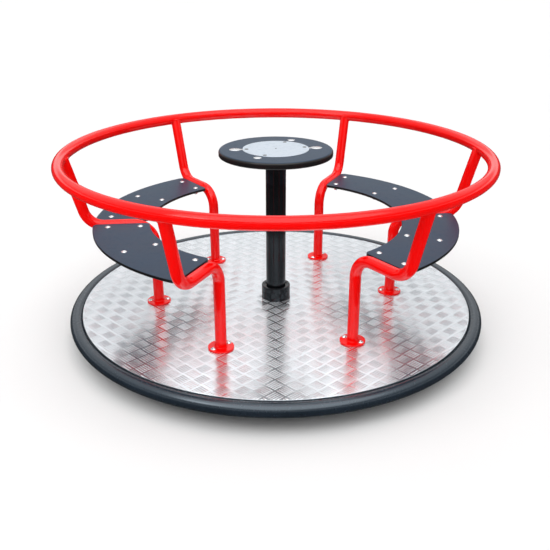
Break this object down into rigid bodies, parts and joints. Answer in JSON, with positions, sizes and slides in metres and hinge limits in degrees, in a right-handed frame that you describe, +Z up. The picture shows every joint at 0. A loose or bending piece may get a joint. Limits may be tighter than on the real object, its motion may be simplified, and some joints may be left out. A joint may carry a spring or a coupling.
{
  "type": "playground roundabout",
  "caption": "Playground roundabout: a round tread-plate deck with curved bench seats and a ring hand rail turns round a fixed column with a small table.",
  "frame": {"origin": "on the ground, on the turning axis, at the underside of the base plate", "axes": "+Z up along the turning axis; the two ways on to the deck face -Y and +Y, and the seats lie to -X and +X"},
  "size_m": [1.595, 1.595, 0.7045],
  "materials": {
    "red_powder_coat": "glossy bright red powder coat",
    "anthracite_powder_coat": "semi-gloss dark blue-grey powder coat",
    "black_powder_coat": "semi-gloss black powder coat",
    "anthracite_board": "fine-textured blue-grey laminate board with black edges",
    "tread_aluminium": "bright five-bar tread plate",
    "brushed_aluminium": "brushed",
    "galvanised_steel": "dull galvanised",
    "bearing_bronze": "machined"
  },
  "bodies": {
    "base": {"base_plate": "galvanised_steel", "foot_ring": "galvanised_steel", "column": "black_powder_coat", "table_flange": "black_powder_coat", "table": "anthracite_board", "table_plate": "brushed_aluminium"},
    "turntable": {"bearing_housing": "black_powder_coat", "bearing_lower": "bearing_bronze", "bearing_upper": "bearing_bronze", "deck_arm_right": "galvanised_steel", "deck_arm_back_right": "galvanised_steel", "deck_arm_back_left": "galvanised_steel", "deck_arm_left": "galvanised_steel", "deck_arm_front_left": "galvanised_steel", "deck_arm_front_right": "galvanised_steel", "deck_plate": "tread_aluminium", "rim": "anthracite_powder_coat", "deck_ledge": "anthracite_powder_coat", "foot_flange_right": "red_powder_coat", "foot_flange_back_right": "red_powder_coat", "foot_flange_back_left": "red_powder_coat", "foot_flange_left": "red_powder_coat", "foot_flange_front_left": "red_powder_coat", "foot_flange_front_right": "red_powder_coat", "post_right": "red_powder_coat", "post_back_right": "red_powder_coat", "post_back_left": "red_powder_coat", "post_left": "red_powder_coat", "post_front_left": "red_powder_coat", "post_front_right": "red_powder_coat", "seat_right_back": "anthracite_board", "seat_left_back": "anthracite_board", "seat_left_front": "anthracite_board", "seat_right_front": "anthracite_board", "seat_bar_inner_right_back": "galvanised_steel", "seat_bar_inner_left_back": "galvanised_steel", "seat_bar_inner_left_front": "galvanised_steel", "seat_bar_inner_right_front": "galvanised_steel", "seat_bar_outer_right_back": "galvanised_steel", "seat_bar_outer_left_back": "galvanised_steel", "seat_bar_outer_left_front": "galvanised_steel", "seat_bar_outer_right_front": "galvanised_steel", "handrail": "red_powder_coat"}
  },
  "joints": [
    {"name": "platform_spin", "type": "hinge", "parent": "base", "child": "turntable", "pos_m": [0, 0, 0.03], "axis": [0, 0, 1], "continuous": true}
  ]
}
